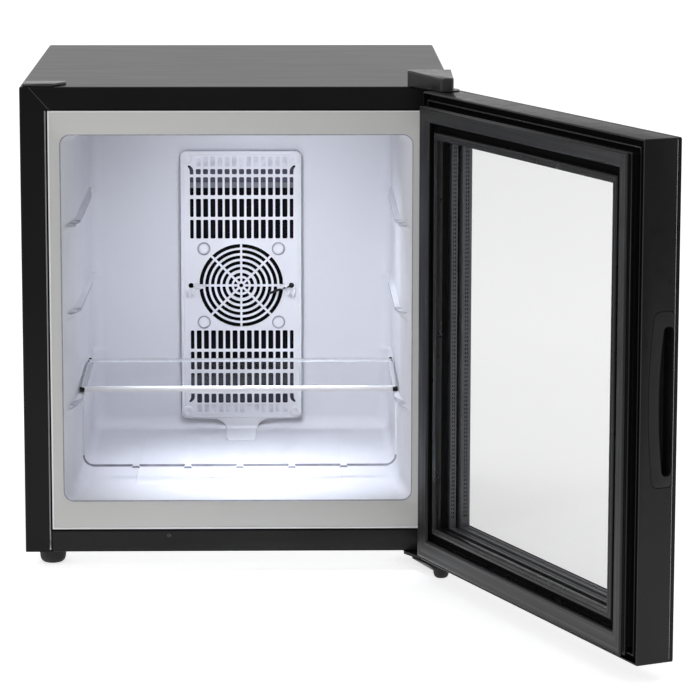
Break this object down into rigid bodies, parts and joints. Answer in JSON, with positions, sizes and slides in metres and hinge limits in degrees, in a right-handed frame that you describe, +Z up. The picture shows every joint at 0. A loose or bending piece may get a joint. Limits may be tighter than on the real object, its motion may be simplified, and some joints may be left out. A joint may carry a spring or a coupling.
{
  "type": "mini fridge",
  "caption": "Compact thermoelectric mini fridge with a hinged glazed door, a fan-cooled cavity and a glass shelf, door standing open.",
  "frame": {"origin": "centre of the underside of the cabinet's pressed base panel, 16 mm above the floor it stands on", "axes": "+X to the right seen from the front, -Y out of the front where the door is, +Z up"},
  "size_m": [0.6079, 0.8765, 0.506],
  "materials": {
    "black_steel": "satin",
    "zinc": "satin",
    "supply_case": "satin",
    "liner": "satin",
    "foam": "matte",
    "white_plastic": "satin",
    "dark_plastic": "matte",
    "black_plastic": "satin",
    "aluminium": "satin",
    "spacer": "satin",
    "module_ceramic": "matte",
    "board": "satin",
    "lens": "gloss",
    "black_hinge_steel": "satin",
    "steel_pin": "satin",
    "black_rubber": "matte",
    "gasket": "satin",
    "clear_glass": "gloss",
    "nylon": "satin"
  },
  "bodies": {
    "cabinet": {"outer_wrap": "black_steel", "front_sill": "black_steel", "base_pan": "zinc", "rear_panel": "black_steel", "liner": "liner", "foam": "foam", "fan_cover": "white_plastic", "cover_screw_1": "white_plastic", "cover_screw_2": "white_plastic", "cover_screw_3": "white_plastic", "cover_screw_4": "white_plastic", "probe_clip_left": "white_plastic", "probe_clip_right": "white_plastic", "temperature_probe": "dark_plastic", "cold_fan_frame": "dark_plastic", "cold_sink": "aluminium", "cold_block": "aluminium", "peltier_module": "module_ceramic", "hot_sink": "aluminium", "hot_fan_frame": "dark_plastic", "rear_grille": "black_plastic", "grille_screw_1": "zinc", "grille_screw_2": "zinc", "grille_screw_3": "zinc", "grille_screw_4": "zinc", "power_supply": "supply_case", "power_inlet": "black_plastic", "control_board": "board", "lamp_housing": "white_plastic", "lamp_lens": "lens", "status_lens": "lens", "top_hinge_plate": "black_hinge_steel", "top_hinge_pin": "steel_pin", "top_hinge_screw_1": "zinc", "top_hinge_screw_2": "zinc", "top_hinge_cover": "black_plastic", "bottom_hinge_bracket": "black_hinge_steel", "bottom_hinge_pin": "steel_pin", "bottom_hinge_screw_1": "zinc", "bottom_hinge_screw_2": "zinc", "blanking_cap": "black_plastic", "foot_front_left": "black_rubber", "foot_front_right": "black_rubber", "foot_rear_left": "black_rubber", "foot_rear_right": "black_rubber"},
    "cold_fan": {"cold_fan_rotor": "dark_plastic"},
    "hot_fan": {"hot_fan_rotor": "dark_plastic"},
    "shelf": {"shelf_glass": "clear_glass", "shelf_trim": "white_plastic"},
    "door": {"door_frame": "black_plastic", "inner_frame": "black_plastic", "gasket": "gasket", "glass_outer": "clear_glass", "glass_middle": "clear_glass", "glass_inner": "clear_glass", "spacer_outer": "spacer", "spacer_inner": "spacer", "grip_insert": "dark_plastic", "hinge_bush_top": "nylon", "hinge_bush_bottom": "nylon"}
  },
  "joints": [
    {"name": "door_hinge", "type": "hinge", "parent": "cabinet", "child": "door", "pos_m": [0.2082, -0.2562, 0.237], "axis": [0, 0, 1], "range_deg": [-114.2, 10.8]},
    {"name": "shelf_slide", "type": "slide", "parent": "cabinet", "child": "shelf", "axis": [0, -1, 0], "range_m": [0, 0.09]},
    {"name": "cold_fan_spin", "type": "hinge", "parent": "cabinet", "child": "cold_fan", "pos_m": [0, 0.13775, 0.216], "axis": [0, -1, 0], "continuous": true},
    {"name": "hot_fan_spin", "type": "hinge", "parent": "cabinet", "child": "hot_fan", "pos_m": [0, 0.211, 0.216], "axis": [0, 1, 0], "continuous": true}
  ]
}
